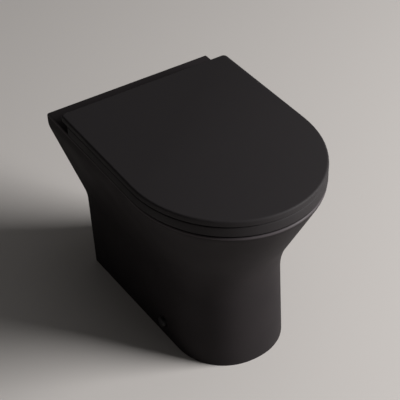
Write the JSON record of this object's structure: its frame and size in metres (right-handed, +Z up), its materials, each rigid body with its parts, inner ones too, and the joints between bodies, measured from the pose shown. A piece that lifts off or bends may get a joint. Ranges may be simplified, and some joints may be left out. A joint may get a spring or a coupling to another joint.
{
  "type": "back-to-wall toilet pan",
  "caption": "Floor-standing back-to-wall toilet pan with a flared skirt, a slim D-shaped soft-close seat and lid, hinges, floor brackets and fixings.",
  "frame": {"origin": "on the floor, on the centre line, midway between the wall face and the front of the lid", "axes": "+Z up, +Y towards the wall, -Y towards the front of the bowl, +X to the right as seen by someone facing the pan"},
  "size_m": [0.364, 0.55, 0.437],
  "materials": {
    "black_glaze": "matt black glaze on vitreous china",
    "seat_resin": "matt black moulded urea resin",
    "black_plastic": "fine matt moulding",
    "grey_plastic": "fine matt moulding",
    "white_nylon": "natural nylon",
    "black_rubber": "soft matt rubber",
    "grey_rubber": "soft matt rubber",
    "stainless_steel": "turned stainless steel",
    "zinc_steel": "bright zinc plate",
    "spring_steel": "drawn spring wire",
    "brass": "turned brass"
  },
  "bodies": {
    "pan_assembly": {"pan_shell": "black_glaze", "bowl": "black_glaze", "left_trapway": "black_glaze", "right_trapway": "black_glaze", "outlet_spigot": "black_glaze", "flush_duct": "black_glaze", "flush_spreader": "black_plastic", "left_hinge_block": "black_plastic", "right_hinge_block": "black_plastic", "left_hinge_post": "stainless_steel", "right_hinge_post": "stainless_steel", "left_post_gasket": "grey_rubber", "right_post_gasket": "grey_rubber", "left_expansion_plug": "grey_rubber", "right_expansion_plug": "grey_rubber", "left_plug_nut": "brass", "right_plug_nut": "brass", "left_button_spring": "spring_steel", "right_button_spring": "spring_steel", "lid_damper_shaft": "stainless_steel", "seat_damper_shaft": "stainless_steel", "left_floor_bracket": "zinc_steel", "right_floor_bracket": "zinc_steel", "left_bracket_nut": "white_nylon", "right_bracket_nut": "white_nylon", "left_side_screw": "zinc_steel", "right_side_screw": "zinc_steel", "left_cup_washer": "white_nylon", "right_cup_washer": "white_nylon"},
    "seat_assembly": {"seat_ring": "seat_resin", "seat_buffers": "black_rubber", "seat_damper": "white_nylon"},
    "lid_assembly": {"lid": "seat_resin", "lid_buffers": "black_rubber", "lid_damper": "white_nylon"},
    "left_button": {"left_release_button": "grey_plastic"},
    "right_button": {"right_release_button": "grey_plastic"},
    "left_cap": {"left_screw_cap": "black_plastic"},
    "right_cap": {"right_screw_cap": "black_plastic"}
  },
  "joints": [
    {"name": "seat_hinge", "type": "hinge", "parent": "pan_assembly", "child": "seat_assembly", "pos_m": [0, 0.1907, 0.419], "axis": [-1, 0, 0], "range_deg": [0, 94]},
    {"name": "lid_hinge", "type": "hinge", "parent": "seat_assembly", "child": "lid_assembly", "pos_m": [0, 0.1907, 0.419], "axis": [1, 0, 0], "range_deg": [-97, 0]},
    {"name": "left_button_press", "type": "slide", "parent": "pan_assembly", "child": "left_button", "axis": [-1, 0, 0], "range_m": [0, 0.003], "stiffness_N_per_m": 500, "springref_m": -0.003, "deforming": ["left_button_spring"]},
    {"name": "right_button_press", "type": "slide", "parent": "pan_assembly", "child": "right_button", "axis": [1, 0, 0], "range_m": [0, 0.003], "stiffness_N_per_m": 500, "springref_m": -0.003, "deforming": ["right_button_spring"]},
    {"name": "left_cap_pull", "type": "slide", "parent": "pan_assembly", "child": "left_cap", "axis": [-1, 0, 0], "range_m": [0, 0.012]},
    {"name": "right_cap_pull", "type": "slide", "parent": "pan_assembly", "child": "right_cap", "axis": [1, 0, 0], "range_m": [0, 0.012]}
  ]
}
